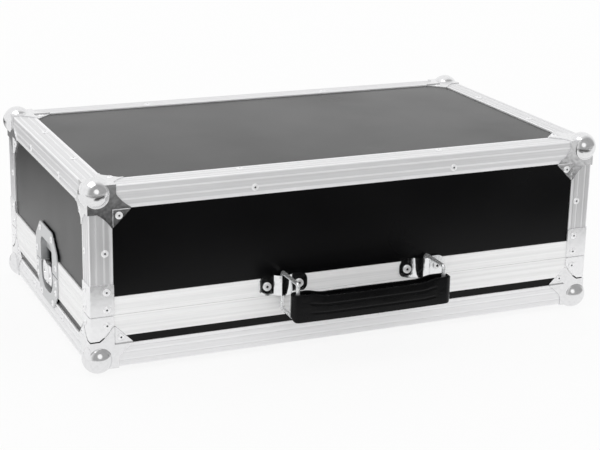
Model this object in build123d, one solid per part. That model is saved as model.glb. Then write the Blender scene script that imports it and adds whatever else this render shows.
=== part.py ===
from build123d import *
import os
from math import sqrt

# A flight case in two halves: a shallow base and a deep lift-off lid.
# X runs along the front, Y from the front to the back, Z up from the floor.
# Everything is drawn about the middle of the case and moved once, in write(), so that
# the origin lies under the middle of the whole outline, handle included.
# All sizes are in millimetres.

# Overall sizes over the aluminium profiles
case_width = 718.0
case_depth = 420.0
base_height = 69.0
lid_height = 167.7
lid_gap = 0.3

# Boards
panel_thickness = 7.0

# Edge profile, an angle with two grooves and a lip on each leg
edge_leg = 30.0
edge_wall = 1.8
edge_groove_places = (7.6, 18.0, 25.6)
edge_groove_width = 1.2
edge_groove_depth = 0.45
arris_radius = 1.4
mitre_gap = 0.2
mitre_setback = 8.0

# Closing profiles round the two rims
base_rim_height = 28.2
lid_rim_height = 23.7
rim_inner_wall = 1.8
base_rim_web = 2.0
tongue_width = 3.4
tongue_height = 4.0
groove_clearance = 0.45
groove_headroom = 0.8
groove_roof = 1.4
rim_line_depth = 0.3
rim_line_width = 0.8
rim_line_places = (8.0, 17.0)
rim_edge_radius = 0.6

# Ball corners
ball_radius = 20.0
ball_inset = 11.0
corner_sheet = 1.2
wing_reach = 35.5
wing_width = 11.0
wing_hollow = 1.8
tip_reach = 56.0
tip_radius = 2.5
pocket_rim = 1.8
pocket_slope = 1.6
corner_rivet_inset = 39.0
ball_blend = 2.0
corner_cut = 8.0
notch_gap = 0.3

# Closure corners, the angle plates at the two rims
closure_leg = 30.5
lid_closure_height = 41.2
base_closure_height = 34.0
closure_split_gap = 0.5
closure_ball_gap = 1.8
closure_rivet_inset = 20.8
lid_closure_rivets = (8.5, 31.5)
base_closure_rivet = 12.0
closure_radius = 2.5
closure_bend_radius = 2.0

# Blind rivets
rivet_head_radius = 4.75
rivet_head_height = 1.5
rivet_bore_radius = 1.3
rivet_bore_depth = 1.2
rivet_shank_radius = 2.4
rivet_hole_clearance = 0.1
rivet_end_cover = 1.0
edge_rivet_inset = 20.0
front_rivet_reach = 142.0
top_rivet_shift = -13.0
side_rivet_reach = 73.0
post_rivet_height = 82.0

# Latch dishes
dish_width = 112.0
keeper_plate_height = 57.0
dish_plate_height = 50.0
dish_chamfer = 25.0
dish_corner_radius = 8.0
dish_sheet = 1.5
dish_depth = 14.0
dish_seam = 0.8
recess_width = 60.0
keeper_recess_height = 37.0
dish_recess_height = 34.0
keeper_recess_radius = 12.0
dish_recess_radius = 22.0
dish_fit = 0.4
keeper_rivet_insets = ((26.0, 10.0), (7.0, 44.0))
dish_rivet_insets = ((8.0, 41.0), (10.0, 27.0), (28.0, 7.0))
keeper_bar_low = 18.0
keeper_bar_high = 33.0
keeper_bar_depth = 6.8

# Latch works: an eccentric cam lifts a hook plate, and two wings turn the cam
rotor_drop = 9.0
latch_sweep_radius = 23.4
shaft_radius = 3.0
shaft_clearance = 0.08
tail_radius = 5.0
tail_thickness = 1.4
cam_radius = 9.0
cam_offset = 3.0
cam_side_clearance = 0.8
hook_thickness = 1.5
works_gap = 0.3
hook_frame = 3.2
hook_neck_width = 20.0
hook_reach = 34.0
hook_nose = 2.1
hub_radius = 8.0
hub_height = 6.0
saddle_width = 11.0
saddle_length = 27.6
saddle_thickness = 1.5
lug_thickness = 2.0
lug_height = 4.6
pin_radius = 1.2
pin_clearance = 0.06
pin_rise = 2.5
pin_pitch = 5.2
knuckle_radius = 2.2
wing_plate_thickness = 2.0
wing_half_length = 14.0
wing_side_gap = 0.3
wing_hollow_radius = 5.0
wing_hollow_depth = 0.6

# Handle
bracket_places = (-102.0, 100.0)
bracket_width = 68.0
bracket_height = 27.0
bracket_lift = 0.5
bracket_sheet = 1.5
bracket_corner_radius = 11.0
bridge_width = 26.0
bridge_rise = 8.5
screw_pitch = 45.0
screw_height = 13.0
screw_head_radius = 5.6
screw_head_height = 2.2
screw_recess_radius = 2.0
screw_shank_radius = 2.0
screw_depth = 7.0
ring_wire_radius = 2.6
ring_reach = 51.5
ring_standoff = 3.1
ring_top_gap = 1.0
ring_height = 49.6
ring_corner_radius = 4.0
strap_pitch = 208.0
strap_height = 34.0
strap_rest_gap = 0.8
strap_end_radius = 9.0
strap_half_thickness = 10.5
strap_wall = 2.5
strap_edge_radius = 1.0
strap_eye_half = 5.5
strap_eye_end = 3.0
strap_eye_length = 23.0
strap_eye_margin = 3.0
strap_pad_recess = 2.5
strap_channel_levels = (11.0, 23.0)
strap_channel_width = 1.8
strap_channel_depth = 0.7
strap_channel_end = 19.0
strap_corner_radius = 5.0

# Foam lining
floor_foam = 20.0
lid_foam = 25.0
wall_foam = 15.0
wall_foam_drop = 3.0
foam_pocket_clearance = 1.0

# Levels and faces worked out from the sizes above
foot = ball_radius - ball_inset
z_bottom = foot
z_split = z_bottom + base_height
z_lid = z_split + lid_gap
z_top = z_lid + lid_height
half_width = case_width / 2
half_depth = case_depth / 2
panel_x = half_width - edge_wall
panel_y = half_depth - edge_wall
inner_x = panel_x - panel_thickness
inner_y = panel_y - panel_thickness
rim_depth = edge_wall + panel_thickness + rim_inner_wall
z_floor = z_bottom + edge_wall + panel_thickness
z_ceiling = z_top - edge_wall - panel_thickness
groove_depth = tongue_height + groove_headroom - lid_gap
lid_rim_web = groove_depth + groove_roof
z_rotor = z_split - rotor_drop
ring_y = -half_depth - ring_standoff
strap_y = ring_y - ring_reach
bracket_low = z_lid + bracket_lift
ring_top = bracket_low + bracket_height + ring_top_gap + ring_wire_radius
ring_low = ring_top - ring_height
strap_low = ring_low + ring_wire_radius + strap_rest_gap
front_reach = -(strap_y - strap_half_thickness)
back_reach = half_depth + foot
foot_shift = (front_reach - back_reach) / 2

os.makedirs("parts", exist_ok=True)


def write(name, shape):
    """Moves a finished piece into the part's own frame and writes it as one node."""
    placed = Pos(0, foot_shift, 0) * shape
    export_step(placed, f"parts/{name}.step")


def block(x_range, y_range, z_range):
    """Box between two values on each axis."""
    size = [high - low for low, high in (x_range, y_range, z_range)]
    middle = [(high + low) / 2 for low, high in (x_range, y_range, z_range)]
    return Pos(*middle) * Box(*size)


def both(value):
    """Range that reaches the same distance to either side of zero."""
    return (-value, value)


def mirrored_x(shape):
    return mirror(shape, about=Plane.YZ)


def mirrored_y(shape):
    return mirror(shape, about=Plane.XZ)


def in_all_corners(shape):
    """The same piece in the four corners seen from above, as left front, right front, left back, right back."""
    right = mirrored_x(shape)
    return shape, right, mirrored_y(shape), mirrored_y(right)


# Blind rivets


def facing(point, normal):
    """Frame at a point of an outer face, with its own Z pointing out of the case."""
    sideways = (0, 0, 1) if abs(normal[2]) < 0.5 else (1, 0, 0)
    return Plane(origin=point, x_dir=sideways, z_dir=normal)


def rivet(point, normal, seat=0.0):
    """Dome-headed blind rivet; seat is the height of what its head lies on, over the profile's outer face."""
    depth = edge_wall + panel_thickness - rivet_end_cover
    head = Polyline(
        (0, seat),
        (rivet_head_radius, seat),
        (rivet_head_radius, seat + 0.3 * rivet_head_height),
        (0.62 * rivet_head_radius, seat + rivet_head_height),
        (rivet_bore_radius, seat + rivet_head_height),
        (rivet_bore_radius, seat + rivet_head_height - rivet_bore_depth),
        (0, seat + rivet_head_height - rivet_bore_depth),
        close=True,
    )
    body = revolve(Plane.XZ * make_face(head), Axis.Z)
    shank = Pos(0, 0, (seat - depth) / 2) * Cylinder(rivet_shank_radius, seat + depth)
    return facing(point, normal) * (body + shank)


def rivet_drill(point, normal, seat=0.0):
    """What a rivet's shank cuts out of the pieces that it holds."""
    depth = edge_wall + panel_thickness - rivet_end_cover + rivet_hole_clearance
    radius = rivet_shank_radius + rivet_hole_clearance
    return facing(point, normal) * Pos(0, 0, (seat - depth) / 2) * Cylinder(radius, seat + depth)


def drilled(shape, drills):
    """The shape with every hole that reaches it cut out."""
    box = shape.bounding_box()
    near = []
    for drill in drills:
        other = drill.bounding_box()
        apart = (
            other.min.X > box.max.X
            or other.max.X < box.min.X
            or other.min.Y > box.max.Y
            or other.max.Y < box.min.Y
            or other.min.Z > box.max.Z
            or other.max.Z < box.min.Z
        )
        if not apart:
            near.append(drill)
    return shape - near if near else shape


# Edge profiles


def angle_section():
    """Angle with its outer faces on the two axes, grooved along both legs."""
    outline = Polyline(
        (0, 0),
        (edge_leg, 0),
        (edge_leg, edge_wall),
        (edge_wall, edge_wall),
        (edge_wall, edge_leg),
        (0, edge_leg),
        close=True,
    )
    section = make_face(outline)
    corner = section.vertices().sort_by_distance((0, 0, 0))[0]
    section = fillet(corner, arris_radius)
    for place in edge_groove_places:
        section -= Pos(place, 0) * Rectangle(edge_groove_width, 2 * edge_groove_depth)
        section -= Pos(0, place) * Rectangle(2 * edge_groove_depth, edge_groove_width)
    return section


def mitre_wedge():
    """What a mitre takes off the low end of a profile that starts at the corner and runs along +X."""
    far = edge_leg + 5
    slope = Polyline((-1, -1), (mitre_gap - 1, -1), (mitre_gap + far, far), (-1, far), close=True)
    in_plan = Pos(0, 0, -1) * extrude(make_face(slope), far)
    upright = Rot(90, 0, 0) * in_plan
    upright = mirror(upright, about=Plane.XZ)
    square_end = block((-1, mitre_setback), (-1, far), (-1, far))
    return in_plan + upright + square_end


def angle_profile(corner, along, inward_a, inward_b, length, far_mitre):
    """Edge profile from a corner of the case, mitred there and, if far_mitre, at its other end."""
    bar = extrude(Plane.YZ * angle_section(), length)
    wedge = mitre_wedge()
    bar -= wedge
    if far_mitre:
        bar -= Pos(length, 0, 0) * mirrored_x(wedge)
    turn = Vector(*along).cross(Vector(*inward_a)).dot(Vector(*inward_b))
    y_dir = inward_a if turn > 0 else inward_b
    z_dir = Vector(*along).cross(Vector(*y_dir))
    return Plane(origin=corner, x_dir=along, z_dir=z_dir) * bar


def edges_of_half(level, inward):
    """The four long profiles of one half: front, back, left and right. inward is +1 above the floor and -1 under the top."""
    up = (0, 0, inward)
    front = angle_profile((-half_width, -half_depth, level), (1, 0, 0), (0, 1, 0), up, case_width, True)
    left = angle_profile((-half_width, -half_depth, level), (0, 1, 0), (1, 0, 0), up, case_depth, True)
    return {"front": front, "back": mirrored_y(front), "left": left, "right": mirrored_x(left)}


def posts_of_half(level, inward, length):
    """The four upright corner profiles of one half, from its outer corner to its rim profile."""
    post = angle_profile(
        (-half_width, -half_depth, level), (0, 0, inward), (1, 0, 0), (0, 1, 0), length, False
    )
    return in_all_corners(post)


# Rim profiles


def rim_section(height, web, upward):
    """Closing profile in plan-depth and height, its mating face at zero and its legs over the board."""
    down = -1 if upward else 1
    legs = Pos(rim_depth / 2, down * height / 2) * Rectangle(rim_depth, height)
    slot_height = height - web
    slot_middle = down * (web + slot_height / 2)
    board = Pos(edge_wall + panel_thickness / 2, slot_middle) * Rectangle(panel_thickness, slot_height)
    section = legs - board
    for place in rim_line_places:
        section -= Pos(0, down * place) * Rectangle(2 * rim_line_depth, rim_line_width)
    outer = section.vertices().sort_by_distance((0, 0, 0))[0]
    section = fillet(outer, rim_edge_radius)
    middle = edge_wall + panel_thickness / 2
    if upward:
        section += Pos(middle, tongue_height / 2) * Rectangle(tongue_width, tongue_height)
    else:
        width = tongue_width + 2 * groove_clearance
        section -= Pos(middle, groove_depth / 2) * Rectangle(width, groove_depth)
    return section


def rim_lengths(section, level):
    """The four mitred lengths of a closing profile, as front, back, left and right."""
    bar = extrude(Plane.YZ * section, case_width)
    far = rim_depth + 5
    tall = 2 * (base_rim_height + lid_rim_height)
    slope = Polyline((-1, -1), (mitre_gap - 1, -1), (mitre_gap + far, far), (-1, far), close=True)
    wedge = Pos(0, 0, -tall / 2) * extrude(make_face(slope), tall)
    front = bar - wedge - Pos(case_width, 0, 0) * mirrored_x(wedge)
    front = Pos(-half_width, -half_depth, level) * front
    side = extrude(Plane.YZ * section, case_depth) - wedge - Pos(case_depth, 0, 0) * mirrored_x(wedge)
    right = Pos(half_width, -half_depth, level) * Rot(0, 0, 90) * side
    return front, mirrored_y(front), mirrored_x(right), right


# Ball corners and closure corners


def flange_outline(extra=0.0):
    """One flange of a ball corner, seen square on, from the case's own corner at (0, 0)."""
    low = -corner_sheet
    end = (wing_reach, wing_width)
    tip = (tip_reach, edge_leg)
    middle = ((end[0] + tip[0]) / 2, (end[1] + tip[1]) / 2)
    run = (tip[0] - end[0], tip[1] - end[1])
    span = sqrt(run[0] ** 2 + run[1] ** 2)
    hollow = (middle[0] - wing_hollow * run[1] / span, middle[1] + wing_hollow * run[0] / span)
    curve_a = ThreePointArc(end, hollow, tip)
    curve_b = ThreePointArc(tip[::-1], hollow[::-1], end[::-1])
    lines = [
        Line((corner_cut, low), (wing_reach, low)),
        Line((wing_reach, low), end),
        curve_a,
        Line(tip, tip[::-1]),
        curve_b,
        Line(end[::-1], (low, wing_reach)),
        Line((low, wing_reach), (low, corner_cut)),
        Line((low, corner_cut), (corner_cut, low)),
    ]
    face = make_face(lines)
    tips = [
        face.vertices().sort_by_distance((*tip, 0))[0],
        face.vertices().sort_by_distance((*tip[::-1], 0))[0],
    ]
    face = fillet(tips, tip_radius)
    return offset(face, extra) if extra else face


def ball_corner():
    """Pressed corner with its ball, for the corner at the origin of a case that lies towards +X, +Y and +Z."""
    outline = flange_outline()
    plate = Pos(0, 0, -corner_sheet) * extrude(outline, corner_sheet)
    reach = tip_reach + 5
    beyond = Pos(edge_leg + reach / 2, edge_leg + reach / 2) * Rectangle(reach, reach)
    seat = Pos(0, 0, -corner_sheet) * extrude(outline & beyond, corner_sheet + edge_wall)
    start = edge_leg + pocket_rim
    floor = edge_wall - corner_sheet
    slant = ((start, floor), (start - pocket_slope, -corner_sheet), (start - pocket_slope, -2 * corner_sheet))
    far = ((start + reach, -2 * corner_sheet), (start + reach, floor))
    profile = make_face(Polyline(*slant, *far, close=True))
    wall_x = Plane(origin=(0, start + reach, 0), x_dir=(1, 0, 0), z_dir=(0, -1, 0)) * extrude(profile, 2 * reach)
    wall_y = Plane(origin=(0, 0, 0), x_dir=(0, 1, 0), z_dir=(1, 0, 0)) * extrude(profile, start + reach)
    pocket = wall_x & wall_y
    diagonal = Axis((0, 0, 0), (1, 1, 1))
    plates = [plate.rotate(diagonal, turn) for turn in (0, 120, 240)]
    seats = [(seat - pocket).rotate(diagonal, turn) for turn in (0, 120, 240)]
    pockets = [pocket.rotate(diagonal, turn) for turn in (0, 120, 240)]
    middle = Pos(ball_inset, ball_inset, ball_inset)
    shell = middle * Sphere(ball_radius) + plates - pockets
    centre = Vector(ball_inset, ball_inset, ball_inset)
    rings = [
        edge
        for edge in shell.edges().filter_by(GeomType.CIRCLE)
        if abs((edge @ 0.5 - centre).length - ball_radius) < 0.01
        and abs(min(edge @ 0.5) + corner_sheet) < 0.01
    ]
    shell = fillet(rings, ball_blend)
    shell -= middle * Sphere(ball_radius - corner_sheet)
    shell -= block((0, reach), (0, reach), (0, reach))
    return shell + seats


def corner_notches(level, inward):
    """What is cut out of a rim profile's outer leg where a ball corner's cranked tip lies on the board."""
    reach = tip_reach + 5
    beyond = Pos(edge_leg + reach / 2, edge_leg + reach / 2) * Rectangle(reach, reach)
    face = offset(flange_outline() & beyond, notch_gap)
    cut = Pos(0, 0, -1) * extrude(face, edge_wall + 1)
    front = Rot(-90, 0, 0) * cut
    front = mirror(front, about=Plane.XY)
    side = mirror(Rot(0, 0, 90) * front, about=Plane.YZ)
    return in_all_corners(placed_corner(front + side, level, inward))


def placed_corner(shape, level, inward):
    """A corner piece moved to the left front corner of a half."""
    standing = shape if inward > 0 else mirror(shape, about=Plane.XY)
    return Pos(-half_width, -half_depth, level) * standing


def closure_plate(outline):
    """Angle plate made of one outline on each of the two upright faces of a corner."""
    front = Rot(90, 0, 0) * extrude(outline, corner_sheet)
    side = mirror(Rot(0, 0, 90) * front, about=Plane.YZ)
    plate = front + side
    outer = plate.edges().filter_by(Axis.Z).sort_by_distance((-corner_sheet, -corner_sheet, outline.center().Y))[0]
    return fillet(outer, closure_bend_radius)


def lid_closure():
    """Upper closure corner, with its height counted up from the lid's lower edge."""
    low = closure_split_gap
    high = low + lid_closure_height
    points = ((-corner_sheet, low), (closure_leg, low), (closure_leg, high), (-corner_sheet, high))
    face = make_face(Polyline(*points, close=True))
    ends = [face.vertices().sort_by_distance((closure_leg, level, 0))[0] for level in (low, high)]
    return closure_plate(fillet(ends, closure_radius))


def base_closure():
    """Lower closure corner, which narrows beside the ball corner's flange. Height counts up from the case's corner."""
    high = base_height - closure_split_gap
    low = high - base_closure_height
    points = ((-corner_sheet, low), (closure_leg, low), (closure_leg, high), (-corner_sheet, high))
    face = make_face(Polyline(*points, close=True)) - flange_outline(closure_ball_gap)
    face = face.faces().sort_by(SortBy.AREA)[-1]
    end = face.vertices().sort_by_distance((closure_leg, high, 0))[0]
    return closure_plate(fillet(end, closure_radius))


# Latch dishes, drawn on the right side: X out from the profile's face, Y along it, Z from the split


def recess_outline(extra=0.0):
    """Mouth of the latch recess across both halves, with Y to the right and the split at zero."""
    half = recess_width / 2 + extra
    high = keeper_recess_height + extra
    low = -dish_recess_height - extra
    face = make_face(Polyline((-half, low), (half, low), (half, high), (-half, high), close=True))
    top = [face.vertices().sort_by_distance((x, high, 0))[0] for x in (-half, half)]
    face = fillet(top, keeper_recess_radius + extra)
    bottom = [face.vertices().sort_by_distance((x, low, 0))[0] for x in (-half, half)]
    return fillet(bottom, dish_recess_radius + extra)


def dish_outline():
    """Outer edge of the two latch plates together."""
    half = dish_width / 2
    high = keeper_plate_height
    low = -dish_plate_height
    points = (
        (half - dish_chamfer, low),
        (half, low + dish_chamfer),
        (half, high - dish_chamfer),
        (half - dish_chamfer, high),
        (-half + dish_chamfer, high),
        (-half, high - dish_chamfer),
        (-half, low + dish_chamfer),
        (-half + dish_chamfer, low),
    )
    face = make_face(Polyline(*points, close=True))
    return fillet(face.vertices(), dish_corner_radius)


def outward(face, low, high):
    """A face drawn in Y and Z, made solid between two distances out from the profile's face."""
    upright = Plane(origin=(low, 0, 0), x_dir=(0, 1, 0), z_dir=(1, 0, 0))
    return upright * extrude(face, high - low)


def whole_dish():
    """Both latch dishes in one piece, before the cut along the split."""
    plate = outward(dish_outline(), 0, dish_sheet)
    tub = outward(recess_outline(dish_sheet), -dish_depth, 0)
    hollow = outward(recess_outline(), dish_sheet - dish_depth, 2 * dish_sheet)
    return plate + tub - hollow


def latch_pocket(extra):
    """What a latch dish takes out of the boards, rims and foam, as deep as it is plus extra."""
    depth = dish_depth + extra
    return outward(recess_outline(dish_sheet + dish_fit), -depth, 2 * dish_sheet)


# Latch works, drawn the same way about the rotor


floor_level = dish_sheet - dish_depth
hook_low = floor_level + works_gap
hook_high = hook_low + hook_thickness
hub_low = hook_high + works_gap
saddle_low = hub_low + hub_height
saddle_high = saddle_low + saddle_thickness
pin_level = saddle_high + pin_rise


def disc(radius, low, high, up=0.0, side=0.0):
    """Round slab between two distances out from the profile's face, centred on the rotor."""
    return Pos((low + high) / 2, side, up) * Rot(0, 90, 0) * Cylinder(radius, high - low)


def latch_rotor():
    """Shaft with its riveted tail, cam, hub and the saddle that carries the two wing pins."""
    tail = disc(tail_radius, -dish_depth - works_gap - tail_thickness, -dish_depth - works_gap)
    shaft = disc(shaft_radius, -dish_depth - works_gap, hub_low)
    cam = disc(cam_radius, hook_low - works_gap / 3, hub_low, up=-cam_offset)
    hub = disc(hub_radius, hub_low, saddle_low)
    saddle = block((saddle_low, saddle_high), both(saddle_width / 2), both(saddle_length / 2))
    lug = block(
        (saddle_high, saddle_high + lug_height),
        both(saddle_width / 2),
        (saddle_length / 2 - lug_thickness, saddle_length / 2),
    )
    body = tail + shaft + cam + hub + saddle + lug + mirror(lug, about=Plane.XY)
    for side in both(pin_pitch / 2):
        body -= Pos(pin_level, side, 0) * Cylinder(pin_radius + pin_clearance, saddle_length + 2)
    return body


def latch_hook():
    """Plate with a window round the cam, a neck up across the split and a turned-out nose."""
    window_width = 2 * (cam_radius + cam_offset + cam_side_clearance)
    window_height = 2 * (cam_radius + cam_side_clearance)
    frame_width = window_width + 2 * hook_frame
    frame_height = window_height + 2 * hook_frame
    frame = block((hook_low, hook_high), both(frame_width / 2), both(frame_height / 2))
    frame = fillet(frame.edges().filter_by(Axis.X), hook_frame)
    window = block((hook_low - 1, hook_high + 1), both(window_width / 2), both(window_height / 2))
    frame = Pos(0, 0, -cam_offset) * (frame - window)
    neck_low = window_height / 2 - cam_offset + hook_frame / 2
    neck = block((hook_low, hook_high), both(hook_neck_width / 2), (neck_low, hook_reach))
    nose = block(
        (hook_low, hook_high + hook_nose),
        both(hook_neck_width / 2),
        (hook_reach - hook_thickness, hook_reach),
    )
    return frame + neck + nose


def latch_wing():
    """Wing on the +Y side, lying folded: a rounded plate on a knuckle that turns on its pin."""
    pin_side = pin_pitch / 2
    inner = saddle_length / 2 - lug_thickness - wing_side_gap
    plate_low = pin_level - wing_plate_thickness / 2
    plate_high = pin_level + wing_plate_thickness / 2
    lug_corner = sqrt((saddle_width / 2 - pin_side) ** 2 + (lug_height - pin_rise) ** 2)
    start = pin_side + lug_corner + wing_side_gap
    root = block((plate_low, plate_high), (pin_side, start + 1), both(inner))
    blade = block((plate_low, plate_high), (start, latch_sweep_radius), both(wing_half_length))
    blade = blade & disc(latch_sweep_radius, plate_low, plate_high)
    dent = disc(wing_hollow_radius, plate_high - wing_hollow_depth, plate_high + 1, side=0.62 * latch_sweep_radius)
    knuckle = Pos(pin_level, pin_side, 0) * Cylinder(knuckle_radius, 2 * inner)
    bore = Pos(pin_level, pin_side, 0) * Cylinder(pin_radius + pin_clearance, 2 * inner + 2)
    return root + blade + knuckle - dent - bore


def latch_pins():
    """The two wing pins, as long as the saddle."""
    pin = Cylinder(pin_radius, saddle_length)
    return [Pos(pin_level, side, 0) * pin for side in both(pin_pitch / 2)]


def on_right(shape, level):
    return Pos(half_width, 0, level) * shape


def on_left(shape, level):
    return Rot(0, 0, 180) * on_right(shape, level)


# Handle


def handle_bracket():
    """Footman loop: two ears against the lid and an arched bridge between them, centred on its ears."""
    half = bracket_width / 2
    outer = bridge_width / 2
    top = bridge_rise
    sheet = bracket_sheet
    rise = top - sheet
    radius = (outer ** 2 + rise ** 2) / (2 * rise)
    foot = sqrt((radius - sheet) ** 2 - (radius - top) ** 2)
    section = make_face([
        Line((-half, 0), (-foot, 0)),
        ThreePointArc((-foot, 0), (0, top - sheet), (foot, 0)),
        Line((foot, 0), (half, 0)),
        Line((half, 0), (half, sheet)),
        Line((half, sheet), (outer, sheet)),
        ThreePointArc((outer, sheet), (0, top), (-outer, sheet)),
        Line((-outer, sheet), (-half, sheet)),
        Line((-half, sheet), (-half, 0)),
    ])
    bar = extrude(section, bracket_height)
    bar = mirror(Pos(0, 0, -bracket_height / 2) * bar, about=Plane.XZ)
    front = fillet(Rectangle(bracket_width, bracket_height).vertices(), bracket_corner_radius)
    trim = Rot(90, 0, 0) * extrude(front, 2 * bridge_rise, both=True)
    return bar & trim


def screw(point, seat):
    """Pan-head screw through a handle bracket, with a round recess in its head."""
    head = Pos(0, 0, seat + screw_head_height / 2) * Cylinder(screw_head_radius, screw_head_height)
    head = fillet(head.edges().sort_by(Axis.Z)[-1], screw_head_height / 2)
    recess = Pos(0, 0, seat + screw_head_height) * Cylinder(screw_recess_radius, screw_head_height)
    shank = Pos(0, 0, (seat - screw_depth) / 2) * Cylinder(screw_shank_radius, seat + screw_depth)
    return facing(point, (0, -1, 0)) * (head + shank - recess)


def screw_drill(point, seat):
    depth = screw_depth + rivet_hole_clearance
    radius = screw_shank_radius + rivet_hole_clearance
    return facing(point, (0, -1, 0)) * Pos(0, 0, (seat - depth) / 2) * Cylinder(radius, seat + depth)


def handle_ring(x):
    """Rectangular wire ring that turns on its inner upright."""
    depth_middle = (ring_y + strap_y) / 2
    level_middle = (ring_top + ring_low) / 2
    loop = Plane(origin=(x, depth_middle, level_middle), x_dir=(0, 1, 0), z_dir=(1, 0, 0))
    corners = Rectangle(ring_reach, ring_height)
    path = loop * fillet(corners.vertices(), ring_corner_radius)
    wire = path.wires()[0]
    start = wire.position_at(0)
    heading = wire.tangent_at(0)
    return sweep(Plane(origin=start, z_dir=heading) * Circle(ring_wire_radius), path=wire)


def handle_strap():
    """Padded grip that loops round the outer upright of each ring."""
    half = strap_pitch / 2
    edge = strap_end_radius
    full = strap_half_thickness
    arcs = [
        ThreePointArc((-half, -edge), (0, -full), (half, -edge)),
        ThreePointArc((half, -edge), (half + edge, 0), (half, edge)),
        ThreePointArc((half, edge), (0, full), (-half, edge)),
        ThreePointArc((-half, edge), (-half - edge, 0), (-half, -edge)),
    ]
    outline = make_face(arcs)
    body = extrude(outline, strap_height)
    body = fillet(body.edges().filter_by(GeomType.LINE, reverse=True), strap_edge_radius)
    inner_end = half + strap_eye_end - strap_eye_length
    run = strap_eye_length - 2 * strap_eye_half
    for side in (-1, 1):
        eye = Pos(side * (inner_end + strap_eye_length / 2)) * SlotCenterToCenter(run, 2 * strap_eye_half)
        body -= Pos(0, 0, -1) * extrude(eye, strap_height + 2)
    hollow = offset(outline, -strap_wall) & Rectangle(2 * (inner_end - strap_eye_margin), 4 * full)
    body -= extrude(hollow, strap_pad_recess)
    body -= Pos(0, 0, strap_height - strap_pad_recess) * extrude(hollow, strap_pad_recess)
    skin = (outline - offset(outline, -strap_channel_depth)) & Rectangle(2 * (half - strap_channel_end), 4 * full)
    channel = extrude(skin, strap_channel_width)
    channels = [Pos(0, 0, level - strap_channel_width / 2) * channel for level in strap_channel_levels]
    body -= channels
    face = fillet(Rectangle(2 * (half + edge), strap_height).vertices(), strap_corner_radius)
    body &= Pos(0, 0, strap_height / 2) * Rot(90, 0, 0) * extrude(face, 2 * full, both=True)
    return Pos(0, strap_y, strap_low) * body


# Where the rivets go


def in_four(x, y, z, normal, seat):
    """The same rivet in the four corners, as (point, normal, seat)."""
    found = []
    for side_x in (-1, 1):
        for side_y in (-1, 1):
            point = (side_x * x, side_y * y, z)
            found.append((point, (side_x * normal[0], side_y * normal[1], normal[2]), seat))
    return found


def half_rivets(level, inward):
    """Rivets that both halves have: three in each ball corner and two in each long profile's side leg."""
    inset = corner_rivet_inset
    pocket = corner_sheet - edge_wall
    up = level + inward * inset
    found = in_four(half_width - inset, half_depth, up, (0, 1, 0), pocket)
    found += in_four(half_width, half_depth - inset, up, (1, 0, 0), pocket)
    found += in_four(half_width - inset, half_depth - inset, level, (0, 0, -inward), pocket)
    leg = level + inward * edge_rivet_inset
    found += in_four(half_width, side_rivet_reach, leg, (1, 0, 0), 0.0)
    found += in_four(half_width - edge_rivet_inset, side_rivet_reach, level, (0, 0, -inward), 0.0)
    return found


def closure_rivets(level, seat):
    return in_four(half_width - closure_rivet_inset, half_depth, level, (0, 1, 0), seat) + in_four(
        half_width, half_depth - closure_rivet_inset, level, (1, 0, 0), seat
    )


def latch_rivets(insets, level, way):
    """Rivets of a latch plate, each set in from a side edge and from the plate's far end."""
    return [
        ((side * half_width, across * (dish_width / 2 - inset), level + way * above), (side, 0, 0), dish_sheet)
        for inset, above in insets
        for side in (-1, 1)
        for across in (-1, 1)
    ]


def base_rivet_places():
    found = half_rivets(z_bottom, 1)
    found += closure_rivets(z_split - base_closure_rivet, corner_sheet)
    found += latch_rivets(dish_rivet_insets, z_split - dish_plate_height, 1)
    inset = half_depth - edge_rivet_inset
    found += in_four(front_rivet_reach, inset, z_bottom, (0, 0, -1), 0.0)
    return found


def lid_rivet_places():
    found = half_rivets(z_top, -1)
    for height in lid_closure_rivets:
        found += closure_rivets(z_lid + height, corner_sheet)
    found += latch_rivets(keeper_rivet_insets, z_split + keeper_plate_height, -1)
    leg = z_top - edge_rivet_inset
    found += in_four(front_rivet_reach, half_depth, leg, (0, 1, 0), 0.0)
    for x in both(front_rivet_reach):
        for side in (-1, 1):
            point = (x + top_rivet_shift, side * (half_depth - edge_rivet_inset), z_top)
            found.append((point, (0, 0, 1), 0.0))
    post = z_split + post_rivet_height
    found += in_four(half_width - edge_rivet_inset, half_depth, post, (0, 1, 0), 0.0)
    found += in_four(half_width, half_depth - edge_rivet_inset, post, (1, 0, 0), 0.0)
    return found


# Boards of each half


def boards(closing_z, wall_low, wall_high):
    """The five boards of a half: the closing one over the walls, and the walls between it and the rim."""
    closing = block(both(panel_x), both(panel_y), closing_z)
    front = block(both(panel_x), (-panel_y, -inner_y), (wall_low, wall_high))
    left = block((-panel_x, -inner_x), both(inner_y), (wall_low, wall_high))
    return closing, front, mirrored_y(front), left, mirrored_x(left)


def wall_foam_ring(low, high):
    """Four foam strips just inside the rim profiles."""
    outer_x = half_width - rim_depth
    outer_y = half_depth - rim_depth
    front = block(both(outer_x), (-outer_y, wall_foam - outer_y), (low, high))
    left = block((-outer_x, wall_foam - outer_x), both(outer_y - wall_foam), (low, high))
    return [front, mirrored_y(front), left, mirrored_x(left)]


def foam_slab(low, high):
    """Foam sheet between the four strips."""
    half_x = half_width - rim_depth - wall_foam
    half_y = half_depth - rim_depth - wall_foam
    return block(both(half_x), both(half_y), (low, high))


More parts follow.
